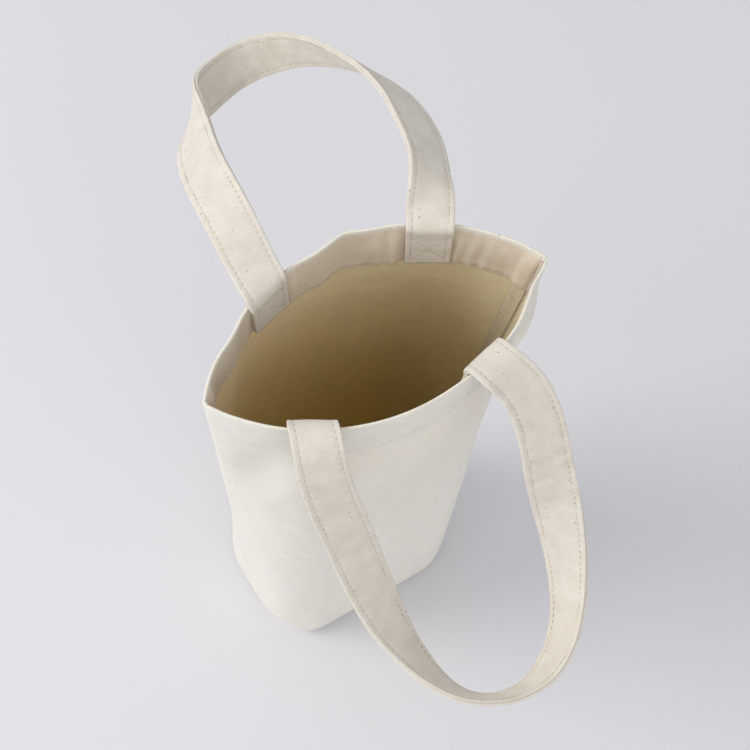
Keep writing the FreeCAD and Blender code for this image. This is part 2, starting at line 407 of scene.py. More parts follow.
class Wall:
    """One panel's wall as ruled cloth between the base's outline and the mouth, at a row of shares."""

    def __init__(self, side, shares):
        self.side = side
        self.shares = np.asarray(shares, float)
        low = np.array([base_outline(s) for s in self.shares])
        high = np.array([mouth_outline(s, BOW[side]) for s in self.shares])
        flip = np.array([1.0, -side])
        turn = np.array([
            [math.cos(BASE_TWIST), math.sin(BASE_TWIST)],
            [-math.sin(BASE_TWIST), math.cos(BASE_TWIST)],
        ])
        self.low = low[:, 0] * flip @ turn
        self.low_in = low[:, 1] * flip @ turn
        self.high = high[:, 0] * flip + MOUTH_SHIFT
        self.high_in = high[:, 1] * flip
        self.from_seam = np.minimum(self.shares, 1 - self.shares) * PANEL_WIDTH
        self.seam_in = np.where(self.shares < 0.5, 1.0, -1.0)[:, None] * np.array([1.0, 0.0])

    def inward(self, height):
        """Level direction into the bag. Close to a side seam it turns to the seam's own plane."""
        part = np.asarray(height, float)[..., None] / BAG_HEIGHT
        normal = unit(self.low_in * (1 - part) + self.high_in * part)
        near = bump(self.from_seam, 0, SEAM_PLANE)[:, None]
        return unit(normal * (1 - near) + self.seam_in * near)

    def at(self, height, inset):
        """Points at a height and an inset from the outer face. Both may differ along the row."""
        height = np.broadcast_to(np.asarray(height, float), self.shares.shape)
        inset = np.broadcast_to(np.asarray(inset, float), self.shares.shape)
        part = height[:, None] / BAG_HEIGHT
        place = self.low * (1 - part) + self.high * part
        place = place + self.inward(height) * (inset - self.sway(height))[:, None]
        return np.column_stack([place, height])

    def sway(self, height):
        """How far the soft cloth stands out of its ruled shape, in millimetres."""
        part = height / BAG_HEIGHT
        ruled = np.column_stack([self.low * (1 - part[:, None]) + self.high * part[:, None], height])
        seam_hold = 1 - bump(self.from_seam, 0, SEAM_HOLD)
        foot_hold = 1 - bump(height, 0, FOOT_HOLD)
        long_waves = wander(ruled, LONG_WAVES[0], 3 + self.side) * LONG_WAVES[1]
        short_waves = wander(ruled, SHORT_WAVES[0], 8 + self.side) * SHORT_WAVES[1]
        out = (long_waves + short_waves) * seam_hold * foot_hold
        over_line = height - (BAG_HEIGHT - HEM_HEIGHT + HEM_LINE_RISE)
        out = out - HEM_GROOVE * bump(over_line, 0, 1.6) + HEM_STEP / (1 + np.exp(-over_line / 1.5))
        for middle, level_at, wide, tall, depth, lean in FOLDS[self.side]:
            along = self.shares - middle - lean * (part - level_at)
            out = out + depth * bump(along, 0, wide) * bump(part, level_at, tall) * seam_hold
        flutes = ripple(self.shares * PANEL_WIDTH, FLUTE_SPACING, 5.0 * self.side, 0.5)
        gathered = bump(height, BAG_HEIGHT - FLUTE_DROP, FLUTE_HEIGHT) * FLUTE_DEPTH[self.side]
        flutes = flutes * (0.6 + 0.9 * strap_near(self)) * (1 - strap_cover(self))
        return out + flutes * gathered * seam_hold


# Tucks in the turned hem beside the straps: share across, width as a share, and depth inwards
TUCKS = {
    FRONT: (),
    BACK: (
        (0.390, 0.012, 0.9),
        (0.610, 0.013, 1.5),
        (0.648, 0.011, 1.2),
        (0.800, 0.011, 1.7),
        (0.838, 0.012, 1.5),
        (0.875, 0.012, 1.1),
    ),
}

# Soft folds and dents: share across, level, width, height, depth outwards and lean
FOLDS = {
    FRONT: (
        (0.13, 0.80, 0.07, 0.08, -4.5, 0.30),
        (0.30, 0.70, 0.10, 0.20, 1.5, 0.10),
        (0.86, 0.72, 0.05, 0.30, -2.2, 0.05),
        (0.93, 0.99, 0.05, 0.04, -2.0, 0.00),
        (0.93, 0.86, 0.06, 0.09, 5.0, 0.00),
        (0.22, 0.10, 0.05, 0.10, -1.6, 0.35),
        (0.62, 0.55, 0.12, 0.30, -1.2, 0.00),
    ),
    BACK: (
        (0.53, 0.97, 0.035, 0.16, 1.7, 0.00),
        (0.44, 0.96, 0.05, 0.12, -1.3, 0.05),
        (0.72, 0.95, 0.04, 0.12, -1.4, 0.00),
        (0.16, 0.90, 0.05, 0.20, -1.8, 0.10),
        (0.30, 0.45, 0.12, 0.30, -1.8, 0.05),
        (0.75, 0.40, 0.10, 0.28, 1.5, -0.08),
    ),
}


def foot_radius(shares):
    """Radius of the turn from wall to base. It is larger where a boxed corner draws in."""
    corner = bump(shares, CORNER_SHARE, 0.07) + bump(shares, 1 - CORNER_SHARE, 0.07)
    return FOOT_RADIUS + (CORNER_RADIUS - FOOT_RADIUS) * corner


def panel_shares():
    """Shares across a panel, closer together at the seams, where the cloth rolls in."""
    rolled = ROLL_PLACES / PANEL_WIDTH
    inner = np.linspace(ROLL_END / PANEL_WIDTH, 1 - ROLL_END / PANEL_WIDTH, PANEL_COLUMNS)
    return np.concatenate([rolled, inner, 1 - rolled[::-1]])


def seam_roll(wall):
    """Inset of the cloth as it rolls in at a side seam."""
    near = np.clip(SEAM_ROLL - wall.from_seam, 0, SEAM_ROLL)
    return SEAM_ROLL - np.sqrt(np.maximum(SEAM_ROLL ** 2 - near ** 2, 0))


def strap_cover(wall):
    """1 where a sewn strap holds the cloth flat, 0 away from it."""
    half = 0.6 * STRAP_WIDTH / PANEL_WIDTH
    cover = [np.exp(-((wall.shares - attach_share(wall.side, end)) / half) ** 6) for end in (LEFT, RIGHT)]
    return cover[0] + cover[1]


def strap_near(wall):
    """1 beside a sewn strap, where it gathers the cloth, falling off along the rim."""
    near = [bump(wall.shares, attach_share(wall.side, end), GATHER_SHARE) for end in (LEFT, RIGHT)]
    return near[0] + near[1]


def hem_pucker(wall, below_rim):
    """How far the hem stands in from the wall: soft puckers and tucks, held flat under the straps.

    On the back panel the hem also rides over the side seams' allowance.
    """
    along = wall.shares * PANEL_WIDTH
    puckers = np.abs(ripple(along, PUCKER_SPACING, 4.0 * wall.side, below_rim / 70.0))
    fine = ripple(along, RIPPLE_SPACING, 9.0 * wall.side, below_rim / 40.0)
    depth = (PUCKER_DEPTH + PUCKER_GATHER * strap_near(wall)) * puckers + RIPPLE_DEPTH * fine
    hold = (1 - strap_cover(wall)) * (1 - bump(wall.from_seam, 0, SEAM_WIDTH))
    inset = np.maximum(depth, 0.0) * hold * min(below_rim / (HEM_HEIGHT * 0.6), 1.0)
    for place, width, tuck in TUCKS[wall.side]:
        inset = inset + tuck * bump(wall.shares, place, width) * min(below_rim / 12.0, 1.0)
    if wall.side == FRONT:
        return inset
    rising = np.clip((wall.from_seam - 0.4) / 1.8, 0, 1)
    falling = np.clip((SEAM_WIDTH - wall.from_seam) / 1.6, 0, 1)
    return inset + RIDGE * rising * falling * min(below_rim / 7.0, 1.0)


def panel_cloth(side, name):
    """One panel: half of the base, the foot's turn, the wall, the fold at the rim and the hem inside."""
    wall = Wall(side, panel_shares())
    roll = seam_roll(wall)
    half = CLOTH / 2
    radius = foot_radius(wall.shares)
    rows = []
    outward = []
    down = np.tile([0.0, 0.0, -1.0], (len(wall.shares), 1))
    level_in = level(wall.inward(np.full(len(wall.shares), 60.0)))
    ring = wall.at(half, half + radius)
    axis = np.array([math.cos(BASE_TWIST), math.sin(BASE_TWIST), 0.0])
    seam = axis * (ring @ axis)[:, None]
    seam[:, 2] = half
    for part in np.linspace(0, 1, BASE_ROWS + 1)[:-1]:
        rows.append(seam * (1 - part) + ring * part)
        outward.append(down)
    for angle in np.linspace(0, math.pi / 2, TURN_ROWS):
        bend = radius * (1 - math.sin(angle))
        rows.append(wall.at(half + radius * (1 - math.cos(angle)), half + bend + roll))
        outward.append(down * math.cos(angle) - level_in * math.sin(angle))
    rim = BAG_HEIGHT + rim_wave(wall)
    fold_height = rim - half - FOLD_RADIUS
    for part in np.linspace(0, 1, WALL_ROWS)[1:]:
        start = half + radius
        rows.append(wall.at(start + (fold_height - start) * part, half + roll))
        outward.append(-level_in)
    for angle in np.linspace(0, math.pi, TURN_ROWS)[1:]:
        height = rim - half - FOLD_RADIUS * (1 - math.sin(angle))
        rows.append(wall.at(height, half + roll + FOLD_RADIUS * (1 - math.cos(angle))))
        outward.append(down * -math.sin(angle) - level_in * math.cos(angle))
    turned = half + 2 * FOLD_RADIUS + roll
    hem_row = len(rows)
    for below in np.linspace(2.2, HEM_HEIGHT, HEM_ROWS):
        rows.append(wall.at(fold_height - below, turned + PLY_GAP + hem_pucker(wall, below)))
        outward.append(level_in)
    for drop, back in ((0.5, 0.15), (0.8, 0.5), (0.7, 0.95)):
        inset = turned + (PLY_GAP + hem_pucker(wall, HEM_HEIGHT)) * (1 - back)
        rows.append(wall.at(fold_height - HEM_HEIGHT - drop, inset))
        outward.append(level_in)
    grid = np.array(rows)
    if side == FRONT:
        grid = pressed_corner(grid)
    normals = grid_normals(grid, np.array(outward))
    lengths = np.linalg.norm(np.diff(grid, axis=0), axis=2).mean(axis=1)
    down_cloth = np.concatenate([[0.0], np.cumsum(lengths)])
    uv = np.stack(np.meshgrid(wall.shares * PANEL_WIDTH, down_cloth), axis=-1)
    uv[..., 0] += 400.0 * (side + 2)
    return closed_sheet(name, grid, normals, np.full(grid.shape[:2], CLOTH), uv, hem_row)


def pressed_corner(grid):
    """The front left corner of the base, drawn in flat where the boxed corner is sewn across."""
    slope = unit(np.array(PRESSED_SLOPE))
    depth = grid @ slope
    over = depth - (depth.max() - PRESSED_DEPTH)
    eased = np.clip(over + PRESSED_BLEND, 0, 2 * PRESSED_BLEND) ** 2 / (4 * PRESSED_BLEND)
    drawn = np.where(over > PRESSED_BLEND, over, eased)
    return grid - slope * drawn[..., None]


def rim_wave(wall):
    """How far the rim rises and dips along the mouth. It never rises above the bag's height."""
    wave = ripple(wall.shares * PANEL_WIDTH, RIM_WAVE, 2.0 + 3.0 * wall.side, 0.0)
    return -RIM_DROP - RIM_DROP * wave * (1 - bump(wall.from_seam, 0, 8.0))


# Seam allowances

def side_seam_cloth(end, name):
    """Two plies of overlocked allowance inside a corner, laid to the back panel, from the foot to the hem.

    Its free edge lifts and frays, and its top passes under the hem. The grid and normals of the part
    below the hem come with it.
    """
    across = np.linspace(0.6, STRIP_WIDTH, STRIP_COLUMNS)
    free = (across / across[-1]) ** 1.5
    hem_edge = BAG_HEIGHT - HEM_HEIGHT
    heights = np.linspace(STRIP_BOTTOM, hem_edge + STRIP_UNDER_HEM, STRIP_ROWS)
    wall = Wall(BACK, across / PANEL_WIDTH if end == LEFT else 1 - across / PANEL_WIDTH)
    rows = []
    for height in heights:
        in_hem = 1 / (1 + math.exp(-(height - hem_edge + 3.0) / 1.5))
        lift = 0.9 + 1.1 * noise.noise(Vector((height / 23.0, 6.0 * end, 0.0)))
        fray = 0.9 * noise.noise(Vector((height / 5.0, 3.0 * end, 1.0))) * (1 - in_hem)
        fray += 0.7 * noise.noise(Vector((height / 1.7, 5.0 * end, 2.0))) * (1 - in_hem)
        inset = CLOTH + 0.75 + free * (max(lift, 0.1) + 0.2) * (1 - in_hem)
        row = wall.at(height, inset)
        rows.append(row + unit(row[-1] - row[0]) * (fray * free)[:, None])
    grid = np.array(rows)
    inward = level(wall.inward(np.full(len(across), BAG_HEIGHT / 2)))
    normals = grid_normals(grid, np.broadcast_to(inward, grid.shape))
    thickness = np.broadcast_to(np.where(free > 0.8, 1.0, 1.35), grid.shape[:2])
    uv = np.stack(np.meshgrid(across, heights), axis=-1)
    seen = int(np.searchsorted(heights, hem_edge))
    return closed_sheet(name, grid, normals, thickness, uv), grid[:seen], normals[:seen]


def flat_seam_cloth(name, length, width, middle, along_x=True):
    """Two plies of allowance that lie on the inside of the base, with a softly wavy edge."""
    places = np.linspace(-length / 2, length / 2, int(length / FLAT_SEAM_STEP))
    across = np.linspace(-width / 2, width / 2, FLAT_SEAM_COLUMNS)
    rows = []
    for place in places:
        row = []
        for a in across:
            wave = 0.35 * noise.noise(Vector((place / 7.0, a / 5.0, middle[0])))
            lift = CLOTH + 0.95 + 0.4 * abs(wave)
            spot = (place, a + wave) if along_x else (a + wave, place)
            row.append((middle[0] + spot[0], middle[1] + spot[1], lift))
        rows.append(row)
    grid = np.array(rows)
    c, s = math.cos(BASE_TWIST), math.sin(BASE_TWIST)
    x, y = grid[..., 0].copy(), grid[..., 1].copy()
    grid[..., 0] = x * c - y * s
    grid[..., 1] = x * s + y * c
    normals = grid_normals(grid, np.broadcast_to(np.array([0.0, 0.0, 1.0]), grid.shape))
    uv = np.stack(np.meshgrid(across, places), axis=-1)
    return closed_sheet(name, grid, normals, np.full(grid.shape[:2], TWO_PLIES), uv)


# Straps

def attach_share(side, end):
    """Where the middle of a strap's end lies along the rim, from seam to seam."""
    half_span = MOUTH_SPAN / 2
    radius = (half_span ** 2 + BOW[side] ** 2) / (2 * BOW[side])
    across = end * ATTACH_SPREAD / 2 + ATTACH_SHIFT[side]
    return 0.5 + math.asin(across / radius) / (2 * math.asin(half_span / radius))


def sewn_inset():
    """Inset of a sewn strap's middle surface: it lies on the hem."""
    return CLOTH + 2 * FOLD_RADIUS + STRAP_GAP + STRAP_THICKNESS / 2


def sewn_share(side, end, height):
    """Where the middle of a sewn strap lies across its panel at a height."""
    top, low = SEWN_SHIFT[side, end]
    part = (BAG_HEIGHT - height) / (BAG_HEIGHT - SEWN_BOTTOM)
    return attach_share(side, end) + (top + (low - top) * part) / PANEL_WIDTH


def sewn_wall(side, end, height):
    """The panel behind a sewn strap at a height: the strap's two edges and its middle."""
    half = STRAP_WIDTH / 2 / PANEL_WIDTH
    return Wall(side, sewn_share(side, end, height) + np.array([-half, 0.0, half]))


def sewn_points(side, end):
    """Middle line and width direction of a strap's sewn end, from its bottom to the rim."""
    points = []
    for height in SEWN_HEIGHTS:
        row = sewn_wall(side, end, height).at(height, sewn_inset())
        points.append((row.mean(axis=0), unit(row[2] - row[0])))
    return points


def neck_points(side, end):
    """The strap where it folds over the rim."""
    rim = sewn_wall(side, end, BAG_HEIGHT).at(BAG_HEIGHT, 0)
    rise, turn_out, reach = NECK[side, end]
    tangent = unit(rim[2] - rim[0])
    normal = np.array([tangent[1], -tangent[0], 0.0])
    normal = unit(normal * np.sign(normal[1] * side))
    out = unit(normal * turn_out + np.array([0.0, float(side), 0.0]) * (1 - turn_out))
    ahead = unit(tangent * (1 - NECK_TURN) + np.array([NECK_TURN, 0.0, 0.0]))
    middle = rim.mean(axis=0)
    steps = ((*NECK_INSIDE, tangent), (*NECK_TOP, tangent), (reach, rise, ahead))
    return [(middle + out * far + np.array([0, 0, up]), edge) for far, up, edge in steps]


def strap_line(side):
    """Points along a strap's middle line, with the direction from its outer edge to its inner one.

    That direction is 1 long, and shorter where the strap is drawn in at its sewn ends.
    """
    reach, rise = REACH[side]
    middle = np.array([MOUTH_SHIFT[0] + ATTACH_SHIFT[side], SWING_DEPTH[side], SWING_HEIGHT])
    left = sewn_points(side, LEFT) + neck_points(side, LEFT)
    right = sewn_points(side, RIGHT) + neck_points(side, RIGHT)
    loop = []
    for across, out, up, turn in STATIONS[side]:
        place = middle + np.array([across * ATTACH_SPREAD / 2, side * out * reach, up * rise])
        angle = math.radians(turn)
        loop.append((place, np.array([math.cos(angle), 0, 0]) + FAR_EDGE[side] * math.sin(angle)))
    joined = left + loop + [(p, -d) for p, d in right[::-1]]
    points = np.array([p for p, d in joined])
    edges = unit(np.array([d for p, d in joined]))
    places = travel(points)
    at = np.linspace(0, places[-1], int(places[-1] / STRAP_STEP))
    line = smooth_curve(places, points, at)
    edge = smooth_curve(places, edges, at)
    tangent = unit(np.gradient(line, axis=0))
    edge = unit(edge - tangent * (edge * tangent).sum(-1, keepdims=True))
    face = np.cross(tangent, edge)
    travelled = travel(line)
    near_ends = bump(travelled, 0.0, DRAWN_LENGTH) + bump(travelled, travelled[-1], DRAWN_LENGTH)
    return line, edge * (1 - DRAWN_IN * near_ends)[:, None], face, travelled


def strap_profile():
    """Half thickness across a strap: flat, dented at its two rows of stitches and rounded at its edges."""
    half = STRAP_WIDTH / 2
    across = np.concatenate([EDGE_PLACES - half, np.linspace(-5.4, 5.4, 8), half - EDGE_PLACES[::-1]])
    depth = STRAP_THICKNESS / 2 - STITCH_DENT * bump(np.abs(across), STITCH_ROW, 0.5)
    edge = np.clip((np.abs(across) - (half - EDGE_ROUND)) / EDGE_ROUND, 0, 1)
    return across, depth - EDGE_DROP * (1 - np.sqrt(1 - edge ** 2))


def strap_cloth(side, name):
    """A folded strip of canvas from one sewn end to the other, with an open ply line along its edges."""
    line, edge, face, travelled = strap_line(side)
    across, depth = strap_profile()
    flat = line[:, None, :] + edge[:, None, :] * across[None, :, None]
    up = face[:, None, :]
    soft = wander(flat, 9.0, 12 + side)
    stitched = np.abs(np.abs(across) - STITCH_ROW) < 0.6
    dimple = STITCH_DIMPLE * np.cos(2 * math.pi * travelled / STITCH_PITCH)
    place, length = WRINKLES[side]
    wrinkle = bump(travelled, place, length)[:, None] * np.sin(travelled[:, None] / 1.3 + across * 0.16)
    shift = STRAP_SOFTNESS * soft + WRINKLE_DEPTH * wrinkle * (0.5 + soft)
    height = depth[None, :] + np.where(stitched[None, :], dimple[:, None], 0.0)
    centre = flat + up * shift[..., None]
    top = centre + up * height[..., None]
    bottom = centre - up * height[..., None]
    groove = edge[:, None, :] * PLY_GROOVE
    lip = up * PLY_LIP
    near, far = centre[:, :1], centre[:, -1:]
    near = [near - lip, near + groove, near + lip]
    far = [far + lip, far - groove, far - lip]
    ring = np.concatenate([top, *far, bottom[:, ::-1], *near], axis=1)
    rows, columns = ring.shape[:2]
    points = ring.reshape(-1, 3)
    faces = []
    for r in range(rows - 1):
        for c in range(columns):
            n = (c + 1) % columns
            faces.append((r * columns + c, r * columns + n, (r + 1) * columns + n, (r + 1) * columns + c))
    faces.append(tuple(range(columns))[::-1])
    faces.append(tuple((rows - 1) * columns + c for c in range(columns)))
    turn = np.array([0.4, 0.8, 1.2])
    below = across + STRAP_WIDTH + 2
    round_ring = np.concatenate([across, across[-1] + turn, below, below[-1] + turn])
    uv = np.stack(np.meshgrid(round_ring, travelled), axis=-1).reshape(-1, 2)
    uv[:, 0] += 60.0 * (side + 2)
    return make_object(name, points, faces, uv)


# Thread

def stitch_form():
    """Points and faces of one stitch, 1 long, 1 wide and 1 high, lying along X."""
    points = []
    faces = []
    rings = 5
    sides = 6
    for r in range(rings):
        x = -0.5 + r / (rings - 1)
        size = max(0.5 * (1 - (2 * x) ** 4) ** 0.5, 0.12)
        for s in range(sides):
            angle = 2 * math.pi * s / sides
            points.append((x, size * math.cos(angle), size * math.sin(angle)))
    for r in range(rings - 1):
        for s in range(sides):
            n = (s + 1) % sides
            faces.append((r * sides + s, r * sides + n, (r + 1) * sides + n, (r + 1) * sides + s))
    faces.append(tuple(range(sides))[::-1])
    faces.append(tuple((rings - 1) * sides + s for s in range(sides)))
    return np.array(points), faces


def stitches(name, places, thread=THREAD):
    """One mesh of stitches. Each place is a middle, a direction along, a direction up and a length."""
    form, form_faces = stitch_form()
    points = []
    faces = []
    for middle, along, up, length in places:
        along = unit(np.asarray(along, float))
        side = unit(np.cross(up, along))
        up = np.cross(along, side)
        first = len(points) * len(form)
        points.append(middle + form[:, :1] * along * length + form[:, 1:2] * side * thread
                      + form[:, 2:] * up * thread * 0.7)
        faces += [tuple(i + first for i in face) for face in form_faces]
    points = np.concatenate(points)
    return make_object(name, points, faces, points[:, :2])


def along_line(points, ups, pitch=STITCH_PITCH, length=STITCH_LENGTH):
    """Stitch places along a line of points with up directions."""
    points = np.asarray(points)
    travelled = travel(points)
    count = max(int(travelled[-1] / pitch), 1)
    at = (np.arange(count) + 0.5) * travelled[-1] / count

    def read(values, places):
        """Values of the line at other places along it."""
        return np.stack([np.interp(places, travelled, values[:, k]) for k in range(3)], axis=1)

    along = read(points, at + 0.5) - read(points, at - 0.5)
    up = unit(read(np.asarray(ups), at))
    return [(m, a, u, length) for m, a, u in zip(read(points, at), along, up)]


def strap_stitches(side, name):
    """Two rows of topstitching on both faces of a strap, and the crossed boxes at its sewn ends."""
    line, edge, face, travelled = strap_line(side)
    row = STITCH_ROW
    lift = np.interp(row, *strap_profile()) + 0.03
    places = []
    for a in (-row, row):
        for up in (1, -1):
            places += along_line(line + edge * a + face * up * lift, face * up)
    for start, toward in ((0, 1), (len(line) - 1, -1)):
        from_start = np.abs(travelled - travelled[start])
        begin = np.argmin(np.abs(from_start - BOX_LOW))
        end = np.argmin(np.abs(from_start - BOX_HIGH))
        span = np.arange(begin, end + toward, toward)
        share = np.linspace(-1, 1, len(span))[:, None]
        for up in (1, -1):
            surface = line + face * up * (STRAP_THICKNESS / 2 + 0.02)
            for slope in (1, -1):
                places += along_line(surface[span] + edge[span] * share * slope * row, face[span] * up)
            for at in (begin, end):
                sweep = np.linspace(-row, row, 12)[:, None]
                places += along_line(surface[at] + edge[at] * sweep, np.tile(face[at] * up, (12, 1)))
    return stitches(name, places)


def panel_stitches(side, name):
    """The hem's row of stitches inside and out, and the straps' crossed boxes where they come through."""
    wall = Wall(side, np.linspace(0.03, 0.97, 240))
    height = np.full(len(wall.shares), BAG_HEIGHT - HEM_HEIGHT + HEM_STITCH_RISE)
    level_in = level(wall.inward(height))
    inner = CLOTH + 2 * FOLD_RADIUS + PLY_GAP + hem_pucker(wall, HEM_HEIGHT - 2.0)
    outer = HEM_THREAD / 4
    places = along_line(wall.at(height, inner + 0.06), level_in)
    places += along_line(wall.at(height, outer), -level_in)
    low, high = SEWN_BOTTOM + BOX_LOW, SEWN_BOTTOM + BOX_HIGH
    corners = ((-STITCH_ROW, low), (STITCH_ROW, low), (STITCH_ROW, high), (-STITCH_ROW, high))
    lines = list(zip(corners, corners[1:] + corners[:1]))
    lines += [(corners[0], corners[2]), (corners[1], corners[3])]
    part = np.linspace(0, 1, 14)
    for end in (LEFT, RIGHT):
        for (x0, z0), (x1, z1) in lines:
            z = z0 + (z1 - z0) * part
            run = Wall(side, sewn_share(side, end, z) + (x0 + (x1 - x0) * part) / PANEL_WIDTH)
            places += along_line(run.at(z, outer), -level(run.inward(z)))
    return stitches(name, places, thread=HEM_THREAD)


def overlock_stitches(grid, normals, name):
    """Overlock thread on a side seam: slanted bars on its face and a line along its free edge."""
    places = []
    for r in range(2, len(grid) - 1):
        inner, outer = grid[r, 4], grid[r + 1, 8]
        up = normals[r, 6]
        places.append(((inner + outer) / 2 + up * 0.7, outer - inner, up, np.linalg.norm(outer - inner)))
    edge_line = grid[2:, 8] + normals[2:, 8] * 0.35
    places += along_line(edge_line, normals[2:, 8], OVERLOCK_PITCH, OVERLOCK_PITCH)
    return stitches(name, places, thread=OVERLOCK_THREAD)


# Materials

def node(tree, kind, **values):
    """A shader node with some of its inputs or settings set."""
    made = tree.nodes.new(kind)
    for key, value in values.items():
        if key in made.inputs:
            made.inputs[key].default_value = value
        else:
            setattr(made, key, value)
    return made


def math_node(tree, operation, first, second=None):
    """A math node on two values or sockets."""
    made = tree.nodes.new("ShaderNodeMath")
    made.operation = operation
    for socket, value in zip(made.inputs, (first, second)):
        if value is None:
            continue
        if isinstance(value, (int, float)):
            socket.default_value = value
        else:
            tree.links.new(value, socket)
    return made.outputs[0]


def mix_colour(tree, amount, first, second):
    """A mix of two colours or sockets by a value or socket."""
    made = tree.nodes.new("ShaderNodeMix")
    made.data_type = "RGBA"
    for socket, value in ((made.inputs[0], amount), (made.inputs[6], first), (made.inputs[7], second)):
        if isinstance(value, (int, float, tuple)):
            socket.default_value = value
        else:
            tree.links.new(value, socket)
    return made.outputs[2]


def canvas(name, colour, shade, fleck_share, glow=0.0, thread_pitch=0.62, relief=0.00016):
    """Plain-woven natural cotton: threads over and under, slubs, uneven tone and seed flecks.

    glow is the share of the light that passes into the cloth and through it.
    """
    material = bpy.data.materials.new(name)
    material.use_nodes = True
    tree = material.node_tree
    shader = tree.nodes["Principled BSDF"]
    shader.inputs["Roughness"].default_value = 0.92
    shader.inputs["Specular IOR Level"].default_value = 0.25
    shader.inputs["Sheen Weight"].default_value = 0.18
    shader.inputs["Sheen Roughness"].default_value = 0.6
    shader.inputs["Subsurface Weight"].default_value = glow
    shader.inputs["Subsurface Radius"].default_value = (1.0, 0.8, 0.5)
    shader.inputs["Subsurface Scale"].default_value = 0.0014
    where = node(tree, "ShaderNodeUVMap", uv_map="cloth")
    split = tree.nodes.new("ShaderNodeSeparateXYZ")
    tree.links.new(where.outputs[0], split.inputs[0])
    coarse = node(tree, "ShaderNodeTexNoise", Scale=0.12, Detail=4.0, Roughness=0.6)
    tree.links.new(where.outputs[0], coarse.inputs["Vector"])
    wobble = node(tree, "ShaderNodeTexNoise", Scale=0.35, Detail=2.0)
    tree.links.new(where.outputs[0], wobble.inputs["Vector"])
    sway = math_node(tree, "MULTIPLY", math_node(tree, "SUBTRACT", wobble.outputs["Fac"], 0.5), 1.6)
    turn = math.pi / thread_pitch
    waves = []
    for place in split.outputs[:2]:
        swayed = math_node(tree, "ADD", place, sway)
        waves.append(math_node(tree, "SINE", math_node(tree, "MULTIPLY", swayed, turn)))
    weave = math_node(tree, "MULTIPLY", *waves)
    grain = node(tree, "ShaderNodeTexNoise", Scale=1.1, Detail=4.0, Roughness=0.75)
    tree.links.new(where.outputs[0], grain.inputs["Vector"])

    def slub(stretch):
        """Thick and thin places along the threads of one direction."""
        mapping = tree.nodes.new("ShaderNodeMapping")
        mapping.inputs["Scale"].default_value = stretch
        tree.links.new(where.outputs[0], mapping.inputs["Vector"])
        texture = node(tree, "ShaderNodeTexNoise", Scale=1.0, Detail=3.0, Roughness=0.65)
        tree.links.new(mapping.outputs[0], texture.inputs["Vector"])
        return texture.outputs["Fac"]

    threads = math_node(tree, "ADD", slub((1.9, 0.16, 1.0)), slub((0.16, 1.9, 1.0)))
    woven = math_node(tree, "MULTIPLY", weave, 0.05)
    uneven = math_node(tree, "ADD", math_node(tree, "MULTIPLY", threads, 0.15), grain.outputs["Fac"])
    height = math_node(tree, "ADD", woven, uneven)
    bumps = node(tree, "ShaderNodeBump", Strength=0.9, Distance=relief)
    tree.links.new(height, bumps.inputs["Height"])
    tree.links.new(bumps.outputs[0], shader.inputs["Normal"])

    spots = node(tree, "ShaderNodeTexVoronoi", Scale=0.36, Randomness=1.0)
    tree.links.new(where.outputs[0], spots.inputs["Vector"])
    chosen = tree.nodes.new("ShaderNodeSeparateColor")
    tree.links.new(spots.outputs["Color"], chosen.inputs[0])
    small = math_node(tree, "MULTIPLY", chosen.outputs[1], 0.09)
    near = math_node(tree, "LESS_THAN", spots.outputs["Distance"], math_node(tree, "ADD", small, 0.05))
    picked = math_node(tree, "LESS_THAN", chosen.outputs[0], fleck_share)
    fleck = math_node(tree, "MULTIPLY", math_node(tree, "MULTIPLY", near, picked), 0.55)

    tone = node(tree, "ShaderNodeMapRange")
    tone.inputs["From Min"].default_value = 0.35
    tone.inputs["From Max"].default_value = 0.68
    tree.links.new(coarse.outputs["Fac"], tone.inputs["Value"])
    ground = mix_colour(tree, tone.outputs[0], shade, colour)
    thread_tone = node(tree, "ShaderNodeMapRange")
    thread_tone.inputs["From Min"].default_value = 0.36
    thread_tone.inputs["From Max"].default_value = 0.62
    thread_tone.inputs["To Min"].default_value = 0.20
    thread_tone.inputs["To Max"].default_value = 0.0
    tree.links.new(grain.outputs["Fac"], thread_tone.inputs["Value"])
    dusk = tuple(0.55 * c for c in shade[:3]) + (1.0,)
    ground = mix_colour(tree, thread_tone.outputs[0], ground, dusk)
    ground = mix_colour(tree, fleck, ground, (0.10, 0.07, 0.045, 1.0))
    tree.links.new(ground, shader.inputs["Base Color"])
    return material


def thread_material(name, colour, shade):
    """Spun cotton thread with a twist along it."""
    material = bpy.data.materials.new(name)
    material.use_nodes = True
    tree = material.node_tree
    shader = tree.nodes["Principled BSDF"]
    shader.inputs["Roughness"].default_value = 0.75
    shader.inputs["Sheen Weight"].default_value = 0.15
    where = tree.nodes.new("ShaderNodeTexCoord")
    twist = node(tree, "ShaderNodeTexNoise", Scale=2200.0, Detail=2.0)
    tree.links.new(where.outputs["Object"], twist.inputs["Vector"])
    tree.links.new(mix_colour(tree, twist.outputs["Fac"], shade, colour), shader.inputs["Base Color"])
    bumps = node(tree, "ShaderNodeBump", Strength=0.6, Distance=0.0001)
    tree.links.new(twist.outputs["Fac"], bumps.inputs["Height"])
    tree.links.new(bumps.outputs[0], shader.inputs["Normal"])
    return material


def floor_material():
    """A pale paper floor with a very faint grain."""
    material = bpy.data.materials.new("floor_paper")
    material.use_nodes = True
    tree = material.node_tree
    shader = tree.nodes["Principled BSDF"]
    shader.inputs["Roughness"].default_value = 0.85
    where = tree.nodes.new("ShaderNodeTexCoord")
    grain = node(tree, "ShaderNodeTexNoise", Scale=3.0, Detail=3.0)
    tree.links.new(where.outputs["Object"], grain.inputs["Vector"])
    pale, deep = (0.715, 0.710, 0.735, 1.0), (0.690, 0.685, 0.710, 1.0)
    tree.links.new(mix_colour(tree, grain.outputs["Fac"], pale, deep), shader.inputs["Base Color"])
    return material


